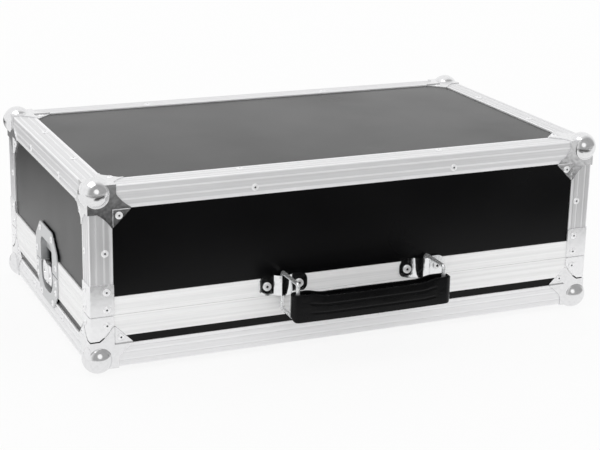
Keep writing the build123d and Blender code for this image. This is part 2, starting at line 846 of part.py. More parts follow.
def main():
    corner_names = ("front_left", "front_right", "back_left", "back_right")
    pocket_shape = latch_pocket(0.0)
    pockets = [on_right(pocket_shape, z_split), on_left(pocket_shape, z_split)]
    foam_shape = latch_pocket(works_gap + tail_thickness + foam_pocket_clearance)
    foam_pockets = [on_right(foam_shape, z_split), on_left(foam_shape, z_split)]

    base_places = base_rivet_places()
    lid_places = lid_rivet_places()
    base_drills = [rivet_drill(*place) for place in base_places]
    lid_drills = [rivet_drill(*place) for place in lid_places]
    bracket_middle = bracket_low + bracket_height / 2
    screw_points = []
    for x in bracket_places:
        for side in both(screw_pitch / 2):
            screw_points.append((x + side, -half_depth, z_lid + screw_height))
    lid_drills += [screw_drill(point, bracket_sheet) for point in screw_points]

    # Base half
    base_wall_top = z_split - base_rim_web
    names = ("bottom", "front", "back", "left", "right")
    for name, board in zip(names, boards((z_bottom + edge_wall, z_floor), z_floor, base_wall_top)):
        write(f"base_{name}_panel", drilled(board - pockets, base_drills))
    for name, edge in edges_of_half(z_bottom, 1).items():
        write(f"base_{name}_edge", drilled(edge, base_drills))
    base_rim = rim_lengths(rim_section(base_rim_height, base_rim_web, True), z_split)
    notches = list(corner_notches(z_bottom, 1))
    cut_rims = [drilled(bar - pockets - notches, base_drills) for bar in base_rim]
    write("base_rim", Compound([length for bar in cut_rims for length in bar.solids()]))
    base_ball = drilled(placed_corner(ball_corner(), z_bottom, 1), base_drills)
    for name, ball in zip(corner_names, in_all_corners(base_ball)):
        write(f"base_ball_corner_{name}", ball)
    closure = drilled(placed_corner(base_closure(), z_bottom, 1), base_drills)
    write("base_closure_corners", Compound(list(in_all_corners(closure))))
    write("base_rivets", Compound([rivet(*place) for place in base_places]))
    strips = wall_foam_ring(z_floor, z_split - wall_foam_drop)
    write("base_wall_foam", Compound([strip - foam_pockets for strip in strips]))
    write("base_floor_foam", foam_slab(z_floor, z_floor + floor_foam))

    # Lid half
    lid_wall_low = z_lid + lid_rim_web
    names = ("top", "front", "back", "left", "right")
    for name, board in zip(names, boards((z_ceiling, z_top - edge_wall), lid_wall_low, z_ceiling)):
        write(f"lid_{name}_panel", drilled(board - pockets, lid_drills))
    for name, edge in edges_of_half(z_top, -1).items():
        write(f"lid_{name}_edge", drilled(edge, lid_drills))
    post_length = lid_height - lid_rim_height
    posts = [drilled(post, lid_drills) for post in posts_of_half(z_top, -1, post_length)]
    write("lid_corner_posts", Compound(posts))
    lid_rim = rim_lengths(rim_section(lid_rim_height, lid_rim_web, False), z_lid)
    cut_rims = [drilled(bar - pockets, lid_drills) for bar in lid_rim]
    write("lid_rim", Compound([length for bar in cut_rims for length in bar.solids()]))
    lid_ball = drilled(placed_corner(ball_corner(), z_top, -1), lid_drills)
    for name, ball in zip(corner_names, in_all_corners(lid_ball)):
        write(f"lid_ball_corner_{name}", ball)
    closure = drilled(placed_corner(lid_closure(), z_lid, 1), lid_drills)
    write("lid_closure_corners", Compound(list(in_all_corners(closure))))
    write("lid_rivets", Compound([rivet(*place) for place in lid_places]))
    strips = wall_foam_ring(z_lid + wall_foam_drop, z_ceiling)
    write("lid_wall_foam", Compound([strip - foam_pockets for strip in strips]))
    write("lid_top_foam", foam_slab(z_ceiling - lid_foam, z_ceiling))

    # Latches
    bearing = disc(shaft_radius + shaft_clearance, -dish_depth - 1, 0, up=-rotor_drop)
    dish = whole_dish() - bearing
    reach = dish_width
    base_part = dish - block((-reach, reach), both(reach), (-dish_seam, reach))
    lid_low = lid_gap + dish_seam
    lid_part = dish - block((-reach, reach), both(reach), (-reach, lid_low))
    bar = block(
        (-keeper_bar_depth - dish_sheet, -keeper_bar_depth),
        both(recess_width / 2 + dish_sheet / 2),
        (keeper_bar_low, keeper_bar_high),
    )
    lid_part += bar & outward(recess_outline(dish_sheet / 2), -dish_depth, 0)
    works = {"rotor": latch_rotor(), "hook": latch_hook(), "wing_back": latch_wing()}
    works["wing_front"] = mirrored_y(works["wing_back"])
    works["pins"] = Compound(latch_pins())
    for side, place in (("right", on_right), ("left", on_left)):
        write(f"latch_dish_{side}", drilled(place(base_part, z_split), base_drills))
        write(f"keeper_dish_{side}", drilled(place(lid_part, z_split), lid_drills))
        for name, shape in works.items():
            if side == "left" and name.startswith("wing"):
                name = "wing_front" if name == "wing_back" else "wing_back"
            write(f"latch_{name}_{side}", place(shape, z_rotor))

    # Handle
    bracket = handle_bracket()
    for name, x in zip(("left", "right"), bracket_places):
        placed = Pos(x, -half_depth, bracket_middle) * bracket
        write(f"handle_bracket_{name}", drilled(placed, lid_drills))
    write("handle_screws", Compound([screw(point, bracket_sheet) for point in screw_points]))
    write("handle_ring_left", handle_ring(-strap_pitch / 2))
    write("handle_ring_right", handle_ring(strap_pitch / 2))
    write("handle_strap", handle_strap())


main()
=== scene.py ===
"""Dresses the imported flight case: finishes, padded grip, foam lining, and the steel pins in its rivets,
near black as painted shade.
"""

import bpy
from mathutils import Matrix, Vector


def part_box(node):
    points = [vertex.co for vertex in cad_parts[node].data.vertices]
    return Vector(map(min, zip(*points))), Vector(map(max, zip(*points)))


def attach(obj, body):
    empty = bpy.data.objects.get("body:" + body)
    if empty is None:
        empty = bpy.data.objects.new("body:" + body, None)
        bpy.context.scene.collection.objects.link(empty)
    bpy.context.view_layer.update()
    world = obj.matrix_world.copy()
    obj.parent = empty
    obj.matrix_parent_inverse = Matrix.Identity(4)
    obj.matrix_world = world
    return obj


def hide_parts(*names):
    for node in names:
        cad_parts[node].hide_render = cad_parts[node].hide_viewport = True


bl_info = {
    "name": "Flight Case",
    "version": (1, 0, 0),
    "blender": (4, 5, 0),
    "location": "View3D > Sidebar > Flight Case",
    "description": "Dresses a flight case: finishes, padded grip, foam lining and studio",
    "category": "Object",
}

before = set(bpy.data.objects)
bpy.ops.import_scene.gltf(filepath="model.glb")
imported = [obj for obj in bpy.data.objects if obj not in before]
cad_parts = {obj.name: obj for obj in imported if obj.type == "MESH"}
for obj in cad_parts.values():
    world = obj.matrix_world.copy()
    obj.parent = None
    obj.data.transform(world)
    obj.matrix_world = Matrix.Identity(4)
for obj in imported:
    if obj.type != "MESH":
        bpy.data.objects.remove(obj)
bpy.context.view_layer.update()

import math

import bmesh
import bpy
from mathutils import Euler, Matrix, Vector

MM = 0.001

# Camera fitted to the photograph: place in metres, turn in degrees, lens and sensor in millimetres, and how
# many metres it sees
CAMERA_PLACE = (-0.8341, -1.9148, 0.7637)
CAMERA_TURN = (72.541, -1.084, -23.197)
CAMERA_LENS = 92.44
SENSOR_WIDTH = 36.0
CAMERA_FAR = 50.0

# Width of an edge profile's face, and where across it, in millimetres from the outer edge, its painted
# highlights along the ribs and the lip next to the board start and end; its rounded outer edge before them is
# a painted highlight too
EDGE_FACE = 30.0 * MM
EDGE_RIB_HIGHLIGHTS = (
    (1.6, True), (2.2, False), (7.2, False), (7.6, True), (9.5, True), (9.9, False),
    (17.6, False), (18.0, True), (19.9, True), (20.3, False), (25.2, False), (25.7, True),
)

# Painted shade in a latch's dish: how dark its floor is, and how far up from its underside it is full and
# ends
DISH_FLOOR_SHADE = 0.03
DISH_DARK_UP_TO = 3.0 * MM
DISH_UNSHADED_FROM = 8.0 * MM

# Millimetres over which each pattern repeats, with enough digits to keep it in its place on the case
LAMINATE_GRAIN = 1.5385
LAMINATE_CLOUDS = 142.86
DIE_LINES = 1.6129
DIE_LINE_LENGTH = 250.0
RIBS = 5.2632
RIB_LENGTH = 1666.7
HANDLING_MARKS = 26.316
PRESS_SWELL = 8.3333
PLATING_HAZE = 3.8462
FINE_SCRATCHES = 0.71429
VINYL_CELLS = 1.2048
VINYL_RUMPLES = 11.111
VINYL_SHINE = 16.667
FOAM_PORES = 1.4286
BROKEN_GRAIN = 0.4

# The span that most of a noise's values lie in
MOST = {"From Min": 0.3, "From Max": 0.7}

# Colour sockets of a mix node: its two inputs and its result
MIX_A = 6
MIX_B = 7
MIX_RESULT = 2

# The grip's mesh: steps along its walls and round each loop, up its outside and inside, and the points of
# an edge's rounding as shares of its radius, inward and up
GRIP_RUNS = 72
GRIP_TURNS = 16
GRIP_STEPS_OUTSIDE = 34
GRIP_STEPS_INSIDE = 6
GRIP_ROUNDING = ((0.3, 0.7), (1.0, 1.0))

# The grip's form: how far from a ring its sag starts and is full, how much its ends are rounded off, where
# its pressed lines lie as shares of its height, how softly they end, and how much its ends still swell
GRIP_SAG_STARTS = 12 * MM
GRIP_SAG_FULL = 38 * MM
GRIP_END_ROUNDING = 0.8
GRIP_LINES = (0.325, 0.675)
GRIP_LINE_FADES = (6 * MM, 2 * MM)
GRIP_END_SWELL = 0.3

# The padding: steps along and round it, how far it presses into the band, how long its rounded ends are
# and where their closing stops, the shares of its width and height left there, and its squareness, as
# powers of the circle's coordinates: the lower, the squarer
PAD_STEPS = 60
PAD_AROUND = 28
PAD_PRESS = 0.1 * MM
PAD_END = 7 * MM
PAD_TIP = 0.02
PAD_END_WIDTH = 0.35
PAD_END_HEIGHT = 0.6
PAD_SQUARE_ACROSS = 0.35
PAD_SQUARE_UP = 0.6

# A rivet's broken pin: its length, its tip's radius as a share of its foot's, and its sides
PIN_LENGTH = 0.6 * MM
PIN_TIP = 0.7
PIN_SIDES = 12

# Mesh steps over one foam peak
PEAK_STEPS = 6

# Studio: half the floor's width, how much of its own white it shows, the middle of the grey room as seen
# from the case, the room's shade, and between which closeness to that middle it sets in
FLOOR_SIZE = 8.0
FLOOR_GLOW = 0.87
GREY_ROOM_WAY = (0.35, -0.92, 0.1)
GREY_ROOM = 0.42
GREY_ROOM_EDGE = (0.05, 0.45)

# Reflector cards: name, middle, size, strength, the shares of its width and height over which it fades at
# its low and high ends (or one share for a round card), and the point it faces unless it lies down
CARDS = (
    ("studio_far_card", (0.0, -3.1, 0.003), (8.0, 5.0), 0.4, ((0.1, 0.1), (0.1, 0.1)), None),
    ("studio_front_card", (0.31, -0.7, 0.005), (1.58, 0.56), 0.04, ((0.12, 0.25), (0.12, 0.42)), None),
    ("studio_handle_card", (0.13, -0.46, 0.009), (0.28, 0.14), 0.04, ((0.12, 0.1), (0.25, 0.4)), None),
    ("studio_corner_card", (-0.3, -0.56, 0.011), (0.36, 0.3), 0.1, ((0.2, 0.3), (0.1, 0.4)), None),
    ("studio_right_card", (0.93, -0.9, 0.013), (0.46, 0.46), 0.85, ((0.2, 0.14), (0.14, 0.2)), None),
    ("studio_dark_card", (-0.3, -1.83, 0.007), (1.7, 2.1), 0.28, ((0.15, 0.2), (0.1, 0.15)), None),
    ("studio_back_card", (-0.9, 1.45, 0.004), (1.4, 2.0), 0.1, ((0.2, 0.3), (0.25, 0.2)), None),
    ("studio_round_light", (-0.17, -2.3, 1.2), (1.6, 1.6), 1.2, 0.08, (-0.36, -0.24, 0.25)),
    ("studio_top_light", (-0.9, -0.3, 2.6), (1.7, 1.7), 3.0, ((0.1, 0.1), (0.1, 0.1)), (0, 0, 0.1)),
)


def linear(value):
    """One sRGB channel from 0 to 1 as linear light."""
    return value / 12.92 if value <= 0.04045 else ((value + 0.055) / 1.055) ** 2.4


def colour(code):
    """A colour written as sRGB hex, as linear red, green and blue."""
    return tuple(linear(int(code[i:i + 2], 16) / 255) for i in (1, 3, 5))


def swatch(name, description, code):
    """A colour that a user can change."""
    return bpy.props.FloatVectorProperty(
        name=name, description=description, subtype="COLOR", size=3, min=0, max=1, default=colour(code)
    )


def length(name, description, millimetres):
    """A length that a user can change, kept in metres."""
    return bpy.props.FloatProperty(
        name=name, description=description, default=millimetres * MM, min=0, precision=5, unit="LENGTH"
    )


class FlightCaseSizes(bpy.types.PropertyGroup):
    """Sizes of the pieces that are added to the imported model"""

    grip_pitch: length("Grip Pitch", "From one ring to the other", 208)
    grip_middle: length("Grip Middle", "Half the grip's thickness in the middle", 10.5)
    grip_end: length("Grip End", "Half the grip's thickness round a ring", 9)
    grip_wall: length("Grip Wall", "Thickness of the band along the grip", 2.5)
    grip_eye: length("Grip Eye", "Half the width of the loop round a ring", 5.5)
    grip_eye_reach: length("Eye Reach", "From a ring's upright to the outer end of its loop", 2.4)
    grip_eye_length: length("Eye Length", "Length of the loop round a ring", 23)
    grip_edge: length("Grip Edge", "Rounding of the band's edges", 1.0)
    grip_height: length("Grip Height", "Height of the grip", 34)
    grip_corner: length("Grip Corner", "Rounding of the grip's ends, seen from the front", 2.6)
    grip_lip: length("Grip Lip", "How much lower the front of the grip hangs", 3.2)
    grip_sag: length("Grip Sag", "How much lower its top is between the rings", 4.2)
    grip_bulge: length("Grip Bulge", "How far the padding swells between the pressed lines", 0.6)
    grip_channel: length("Pressed Line", "Depth of the two lines pressed along the grip", 1.0)
    grip_channel_width: length("Line Width", "Width of a pressed line", 1.9)
    grip_channel_stop: length("Line Stop", "From a ring to the end of the pressed lines", 14.5)
    pad_recess: length("Pad Recess", "How far the padding lies below the band's edges", 2.2)
    # The rivets' pins are near black and the screws' sockets dark discs: painted shade in their bores
    mandrel_radius: length("Mandrel Radius", "Radius of the broken steel pin in a rivet", 1.28)
    mandrel_depth: length("Mandrel Depth", "How deep the pin sits in a rivet's head", 0.25)
    socket_shade_radius: length("Socket Radius", "Radius of the socket in the head of a handle screw", 1.7)
    foam_wall: length("Foam Wall", "Thickness of the foam along the walls", 15)
    foam_notch: length("Foam Notch", "Width of the foam's notch behind a latch", 64)
    foam_notch_gap: length("Notch Gap", "From a latch's dish to the foam behind it", 2.7)
    foam_edge: length("Foam Edge", "Rounding of the foam's cut edges", 2.0)
    foam_pitch: length("Foam Pitch", "From one foam peak to the next", 30)
    foam_relief: length("Foam Relief", "Height of a foam peak", 12)


class FlightCaseColours(bpy.types.PropertyGroup):
    """Colours of the case"""

    laminate: swatch("Laminate", "Black laminate on the boards", "#080809")
    aluminium: swatch("Aluminium", "Satin aluminium of the edge profiles", "#FAFAFB")
    closing: swatch("Closing Profile", "Satin aluminium of the two closing profiles", "#FCFCFC")
    plated: swatch("Plated Steel", "Bright plated ball corners", "#E9E9EA")
    plate: swatch("Closure Plate", "Satin plated steel of the closure corners", "#F3F3F4")
    latch: swatch("Latch Steel", "Plated steel of the latches' dishes", "#C9CACB")
    works: swatch("Latch Works", "Brighter plated steel of the hook, rotor and wings", "#EEEEEF")
    rivet: swatch("Rivet", "Aluminium of the rivets' heads", "#FBFBFC")
    # Near black: painted shade in the rivets' bores and the screws' sockets, on the pins' steel
    pin_and_socket_shade: swatch("Mandrel", "Dull steel of the rivets' pins", "#0C0C0D")
    chrome: swatch("Chrome", "Polished chrome of the handle", "#EAEBEC")
    vinyl: swatch("Vinyl", "Black vinyl of the grip", "#050506")
    foam: swatch("Foam", "Charcoal foam", "#2A2B2D")
    floor: swatch("Floor", "Pale studio floor", "#F4F4F4")


def sizes():
    return bpy.context.scene.flight_case_sizes


def colours():
    return bpy.context.scene.flight_case_colours


# Finishes


def add(tree, kind, inputs=None, **settings):
    """A node of this kind, with its settings and its inputs, each a value or another node's output."""
    node = tree.nodes.new(kind)
    for name, value in settings.items():
        setattr(node, name, value)
    for key, value in (inputs or {}).items():
        if isinstance(value, bpy.types.NodeSocket):
            tree.links.new(value, node.inputs[key])
        else:
            node.inputs[key].default_value = value
    return node


def blank(name):
    """A new material and its empty node tree."""
    material = bpy.data.materials.new(name)
    material.use_nodes = True
    material.node_tree.nodes.clear()
    return material, material.node_tree


def every(millimetres):
    """Scale of a pattern that repeats over this distance."""
    return 1 / (millimetres * MM)


def black_laminate():
    """Phenolic laminate on plywood: near black, smooth and faintly satin, so it greys only at a low angle."""
    material, tree = blank("black_phenolic_laminate")
    where = add(tree, "ShaderNodeTexCoord").outputs["Object"]
    # The pressed face has a fine hammered grain, and broad faint clouds where it was handled
    grain = add(tree, "ShaderNodeTexNoise", {"Vector": where, "Scale": every(LAMINATE_GRAIN), "Detail": 2.0})
    clouds = add(
        tree,
        "ShaderNodeTexNoise",
        {"Vector": where, "Scale": every(LAMINATE_CLOUDS), "Detail": 3.0},
    )
    rough = add(
        tree,
        "ShaderNodeMapRange",
        {"Value": clouds.outputs[0], **MOST, "To Min": 0.19, "To Max": 0.28},
    )
    normal = add(tree, "ShaderNodeBump", {"Height": grain.outputs[0], "Distance": 0.03 * MM, "Strength": 0.5})
    shader = add(
        tree,
        "ShaderNodeBsdfPrincipled",
        {
            "Base Color": (*colours().laminate, 1.0),
            "Roughness": rough.outputs[0],
            "Specular IOR Level": 0.17,
            "Normal": normal.outputs[0],
        },
    )
    add(tree, "ShaderNodeOutputMaterial", {"Surface": shader.outputs[0]})
    return material


def painted_edge_highlights(tree, where, run, flat):
    """Painted highlights across an edge profile's face, from the case's edge to the board: on its outer edge,
    ribs and lip, with painted shade on the flats between.
    """
    boxes = [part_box(name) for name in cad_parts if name.endswith("_edge")]
    split = add(tree, "ShaderNodeSeparateXYZ", {0: where})
    inward = []
    for axis in [i for i in range(3) if "xyz"[i] not in run]:
        low = min(box[0][axis] for box in boxes)
        high = max(box[1][axis] for box in boxes)
        off = add(tree, "ShaderNodeMath", {0: split.outputs[axis], 1: (low + high) / 2}, operation="SUBTRACT")
        away = add(tree, "ShaderNodeMath", {0: off.outputs[0]}, operation="ABSOLUTE")
        half = (high - low) / 2
        inward.append(add(tree, "ShaderNodeMath", {0: half, 1: away.outputs[0]}, operation="SUBTRACT"))
    reach = add(
        tree,
        "ShaderNodeMath",
        {0: inward[0].outputs[0], 1: inward[1].outputs[0]},
        operation="MAXIMUM",
    )
    share = add(tree, "ShaderNodeMapRange", {"Value": reach.outputs[0], "From Max": EDGE_FACE})
    ramp = add(tree, "ShaderNodeValToRGB", {"Fac": share.outputs[0]})
    stops = ramp.color_ramp.elements
    for stop in stops:
        stop.color = (1, 1, 1, 1)
    for place, bright in EDGE_RIB_HIGHLIGHTS:
        grey = 1.0 if bright else flat
        stops.new(place * MM / EDGE_FACE).color = (grey, grey, grey, 1)
    return ramp.outputs[0]


def satin_aluminium(name, rgb, run, roughness, metallic, flat=None):
    """Extruded, anodised aluminium: bright and soft, with ribs and faint die lines along its length; on the
    edge profiles the ribs, lip and outer edge carry painted highlights and the flats painted shade.
    """
    material, tree = blank(name)
    where = add(tree, "ShaderNodeTexCoord").outputs["Object"]
    # Die lines are 0.1 mm apart; they are drawn about 1.6 mm apart so that they show
    fine = tuple(every(DIE_LINE_LENGTH if axis in run else DIE_LINES) for axis in "xyz")
    drawn = add(tree, "ShaderNodeMapping", {"Vector": where, "Scale": fine})
    lines = add(
        tree,
        "ShaderNodeTexNoise",
        {"Vector": drawn.outputs[0], "Scale": 1.0, "Detail": 2.0, "Roughness": 0.6},
    ).outputs[0]
    if flat is None:
        broad = tuple(every(RIB_LENGTH if axis in run else RIBS) for axis in "xyz")
        drawn = add(tree, "ShaderNodeMapping", {"Vector": where, "Scale": broad})
        waves = add(tree, "ShaderNodeTexNoise", {"Vector": drawn.outputs[0], "Scale": 1.0, "Detail": 1.0})
        rib_tone_and_highlights = add(
            tree,
            "ShaderNodeMapRange",
            {"Value": waves.outputs[0], "From Min": 0.4, "From Max": 0.56, "To Min": 0.93, "To Max": 1.0},
        ).outputs[0]
    else:
        # Painted highlights on the ribs, lip and outer edge, with painted shade on the flats between
        rib_tone_and_highlights = painted_edge_highlights(tree, where, run, flat)
    handling = add(
        tree,
        "ShaderNodeTexNoise",
        {"Vector": where, "Scale": every(HANDLING_MARKS), "Detail": 3.0},
    )
    line_rough = add(
        tree,
        "ShaderNodeMapRange",
        {"Value": lines, **MOST, "To Min": roughness - 0.06, "To Max": roughness + 0.06},
    )
    mark_rough = add(
        tree,
        "ShaderNodeMapRange",
        {"Value": handling.outputs[0], **MOST, "To Min": -0.04, "To Max": 0.05},
    )
    rough = add(
        tree,
        "ShaderNodeMath",
        {0: line_rough.outputs[0], 1: mark_rough.outputs[0]},
        operation="ADD",
    )
    line_shade = add(
        tree,
        "ShaderNodeMapRange",
        {"Value": lines, "From Min": 0.35, "From Max": 0.6, "To Min": 0.94, "To Max": 1.0},
    )
    shade = add(tree, "ShaderNodeMath", {0: line_shade.outputs[0], 1: rib_tone_and_highlights}, operation="MULTIPLY")
    tint = add(
        tree,
        "ShaderNodeMix",
        {"Factor": 1.0, MIX_A: (*rgb, 1.0), MIX_B: shade.outputs[0]},
        data_type="RGBA",
        blend_type="MULTIPLY",
    )
    normal = add(tree, "ShaderNodeBump", {"Height": lines, "Distance": 0.06 * MM, "Strength": 0.5})
    # The etched and anodised face scatters part of the light as a matt face does, so it isn't wholly metallic
    shader = add(
        tree,
        "ShaderNodeBsdfPrincipled",
        {
            "Base Color": tint.outputs[MIX_RESULT],
            "Metallic": metallic,
            "Roughness": rough.outputs[0],
            "Normal": normal.outputs[0],
        },
    )
    add(tree, "ShaderNodeOutputMaterial", {"Surface": shader.outputs[0]})
    return material


def painted_dish_shade(tree, where):
    """Painted shade by depth in a latch's dish: dark on its floor, where the recess lies in shade, and none
    above.
    """
    split = add(tree, "ShaderNodeSeparateXYZ", {0: where})
    away = add(tree, "ShaderNodeMath", {0: split.outputs[0]}, operation="ABSOLUTE")
    deepest = -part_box("latch_dish_left")[1].x
    shade = add(
        tree,
        "ShaderNodeMapRange",
        {
            "Value": away.outputs[0],
            "From Min": deepest + DISH_DARK_UP_TO,
            "From Max": deepest + DISH_UNSHADED_FROM,
            "To Min": DISH_FLOOR_SHADE,
            "To Max": 1.0,
        },
    )
    return shade.outputs[0]


def plated_steel(name, rgb, roughness, marks, metallic=1.0, scratches=0.0, dish=False):
    """Pressed steel with a bright plating: mirror-like, a little uneven from the press."""
    material, tree = blank(name)
    where = add(tree, "ShaderNodeTexCoord").outputs["Object"]
    swell = add(tree, "ShaderNodeTexNoise", {"Vector": where, "Scale": every(PRESS_SWELL), "Detail": 1.0})
    haze = add(tree, "ShaderNodeTexNoise", {"Vector": where, "Scale": every(PLATING_HAZE), "Detail": 3.0})
    rough = add(
        tree,
        "ShaderNodeMapRange",
        {
            "Value": haze.outputs[0],
            "From Min": 0.35,
            "From Max": 0.7,
            "To Min": roughness,
            "To Max": roughness + marks,
        },
    )
    normal = add(tree, "ShaderNodeBump", {"Height": swell.outputs[0], "Distance": 0.4 * MM, "Strength": 0.25})
    if scratches:
        fine = add(
            tree,
            "ShaderNodeTexNoise",
            {"Vector": where, "Scale": every(FINE_SCRATCHES), "Detail": 2.0},
        )
        normal = add(
            tree,
            "ShaderNodeBump",
            {
                "Height": fine.outputs[0],
                "Distance": 0.04 * MM,
                "Strength": scratches,
                "Normal": normal.outputs[0],
            },
        )
    shade = add(
        tree,
        "ShaderNodeMapRange",
        {"Value": haze.outputs[0], "From Min": 0.3, "From Max": 0.6, "To Min": 0.93, "To Max": 1.0},
    ).outputs[0]
    # A dish also gets painted shade on its floor
    if dish:
        depth = painted_dish_shade(tree, where)
        shade = add(tree, "ShaderNodeMath", {0: shade, 1: depth}, operation="MULTIPLY").outputs[0]
    tint = add(
        tree,
        "ShaderNodeMix",
        {"Factor": 1.0, MIX_A: (*rgb, 1.0), MIX_B: shade},
        data_type="RGBA",
        blend_type="MULTIPLY",
    )
    shader = add(
        tree,
        "ShaderNodeBsdfPrincipled",
        {
            "Base Color": tint.outputs[MIX_RESULT],
            "Metallic": metallic,
            "Roughness": rough.outputs[0],
            "Normal": normal.outputs[0],
        },
    )
    add(tree, "ShaderNodeOutputMaterial", {"Surface": shader.outputs[0]})
    return material


def black_vinyl():
    """Glossy black vinyl over padding: near black with sharp highlights on a fine leather grain."""
    material, tree = blank("glossy_black_vinyl")
    where = add(tree, "ShaderNodeTexCoord").outputs["Object"]
    # Embossed grain, and soft rumples where the padding gives, longer along the grip
    cells = add(
        tree,
        "ShaderNodeTexVoronoi",
        {"Vector": where, "Scale": every(VINYL_CELLS)},
        feature="SMOOTH_F1",
    )
    along = add(tree, "ShaderNodeMapping", {"Vector": where, "Scale": (0.45, 1, 1)})
    rumples = add(
        tree,
        "ShaderNodeTexNoise",
        {"Vector": along.outputs[0], "Scale": every(VINYL_RUMPLES), "Detail": 2.0},
    )
    shine = add(tree, "ShaderNodeTexNoise", {"Vector": where, "Scale": every(VINYL_SHINE), "Detail": 3.0})
    rough = add(
        tree,
        "ShaderNodeMapRange",
        {"Value": shine.outputs[0], **MOST, "To Min": 0.2, "To Max": 0.34},
    )
    soft = add(tree, "ShaderNodeBump", {"Height": rumples.outputs[0], "Distance": 1.2 * MM, "Strength": 0.3})
    normal = add(
        tree,
        "ShaderNodeBump",
        {"Height": cells.outputs[0], "Distance": 0.12 * MM, "Strength": 0.35, "Normal": soft.outputs[0]},
    )
    shader = add(
        tree,
        "ShaderNodeBsdfPrincipled",
        {
            "Base Color": (*colours().vinyl, 1.0),
            "Roughness": rough.outputs[0],
            "Specular IOR Level": 0.16,
            "Normal": normal.outputs[0],
        },
    )
    add(tree, "ShaderNodeOutputMaterial", {"Surface": shader.outputs[0]})
    return material


def open_cell_foam():
    """Open-cell polyurethane foam: matt charcoal, pitted with small pores that hold painted shade."""
    material, tree = blank("open_cell_foam")
    where = add(tree, "ShaderNodeTexCoord").outputs["Object"]
    # Real pores are about 0.8 mm; they are drawn about 1.4 mm across so that they show
    pores = add(tree, "ShaderNodeTexVoronoi", {"Vector": where, "Scale": every(FOAM_PORES)})
    # Darker toward each pore's middle: painted shade in the pits
    shade = add(
        tree,
        "ShaderNodeMapRange",
        {"Value": pores.outputs[0], "From Min": 0.1, "From Max": 0.6, "To Min": 0.55, "To Max": 1.0},
    )
    tint = add(
        tree,
        "ShaderNodeMix",
        {"Factor": 1.0, MIX_A: (*colours().foam, 1.0), MIX_B: shade.outputs[0]},
        data_type="RGBA",
        blend_type="MULTIPLY",
    )
    normal = add(tree, "ShaderNodeBump", {"Height": pores.outputs[0], "Distance": 0.7 * MM, "Strength": 0.8})
    shader = add(
        tree,
        "ShaderNodeBsdfPrincipled",
        {
            "Base Color": tint.outputs[MIX_RESULT],
            "Roughness": 0.95,
            "Specular IOR Level": 0.15,
            "Normal": normal.outputs[0],
        },
    )
    add(tree, "ShaderNodeOutputMaterial", {"Surface": shader.outputs[0]})
    return material


def dull_steel_shade():
    """Broken end of a rivet's steel pin: dark, dull and rough, painted near black as the shade in the rivet's
    bore; also the dark painted shade in a screw's socket.
    """
    material, tree = blank("broken_steel_painted_shade")
    where = add(tree, "ShaderNodeTexCoord").outputs["Object"]
    grain = add(tree, "ShaderNodeTexNoise", {"Vector": where, "Scale": every(BROKEN_GRAIN), "Detail": 2.0})
    shade = add(
        tree,
        "ShaderNodeMapRange",
        {"Value": grain.outputs[0], **MOST, "To Min": 0.4, "To Max": 1.0},
    )
    tint = add(
        tree,
        "ShaderNodeMix",
        {"Factor": 1.0, MIX_A: (*colours().pin_and_socket_shade, 1.0), MIX_B: shade.outputs[0]},
        data_type="RGBA",
        blend_type="MULTIPLY",
    )
    rough = add(tree, "ShaderNodeMapRange", {"Value": grain.outputs[0], "To Min": 0.45, "To Max": 0.65})
    normal = add(tree, "ShaderNodeBump", {"Height": grain.outputs[0], "Distance": 0.2 * MM, "Strength": 0.5})
    shader = add(
        tree,
        "ShaderNodeBsdfPrincipled",
        {
            "Base Color": tint.outputs[MIX_RESULT],
            "Metallic": 0.5,
            "Roughness": rough.outputs[0],
            "Normal": normal.outputs[0],
        },
    )
    add(tree, "ShaderNodeOutputMaterial", {"Surface": shader.outputs[0]})
    return material


def dress(material, *names):
    """Gives CAD nodes their finish."""
    for name in names:
        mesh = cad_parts[name].data
        mesh.materials.clear()
        mesh.materials.append(material)


def matching(*parts):
    """Names of the CAD nodes that start with one of these words."""
    return [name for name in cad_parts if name.startswith(parts)]


# Pieces


def made(name, shape, material, smooth=True):
    """A finished piece from a bmesh, with its place in its mesh."""
    mesh = bpy.data.meshes.new(name)
    shape.to_mesh(mesh)
    shape.free()
    mesh.materials.append(material)
    if smooth:
        mesh.shade_smooth()
    piece = bpy.data.objects.new(name, mesh)
    bpy.context.scene.collection.objects.link(piece)
    return piece


def smoothstep(low, high, value):
    """A soft step from 0 to 1 as the value goes from low to high."""
    t = min(max((value - low) / (high - low), 0.0), 1.0)
    return t * t * (3 - 2 * t)


def grip_stations():
    """Points round the grip seen from above, each with its place on the band's outside and on its inside."""
    s = sizes()
    half = s.grip_pitch / 2
    eye_centre = half + s.grip_eye_reach - s.grip_eye
    inner_middle = s.grip_middle - s.grip_wall
    quarter = []
    for i in range(GRIP_RUNS // 2 + 1):
        share = math.sin(math.pi / 2 * i / (GRIP_RUNS // 2))
        outer = (half * share, s.grip_middle - (s.grip_middle - s.grip_end) * share ** 2)
        inner = (eye_centre * share, inner_middle - (inner_middle - s.grip_eye) * share ** 2)
        quarter.append((outer, inner))
    for i in range(1, GRIP_TURNS // 2 + 1):
        angle = math.pi / 2 * i / (GRIP_TURNS // 2)
        outer = (half + s.grip_end * math.sin(angle), s.grip_end * math.cos(angle))
        inner = (eye_centre + s.grip_eye * math.sin(angle), s.grip_eye * math.cos(angle))
        quarter.append((outer, inner))
    loop = list(quarter)
    loop += [((o[0], -o[1]), (i[0], -i[1])) for o, i in reversed(quarter[:-1])]
    loop += [((-o[0], -o[1]), (-i[0], -i[1])) for o, i in quarter[1:]]
    loop += [((-o[0], o[1]), (-i[0], i[1])) for o, i in reversed(quarter[1:-1])]
    return loop


def grip_dip(x):
    """How far the grip's top sags at this place along it: not at all by a ring, and fully past its loop."""
    s = sizes()
    return s.grip_sag * smoothstep(GRIP_SAG_STARTS, GRIP_SAG_FULL, s.grip_pitch / 2 - abs(x))


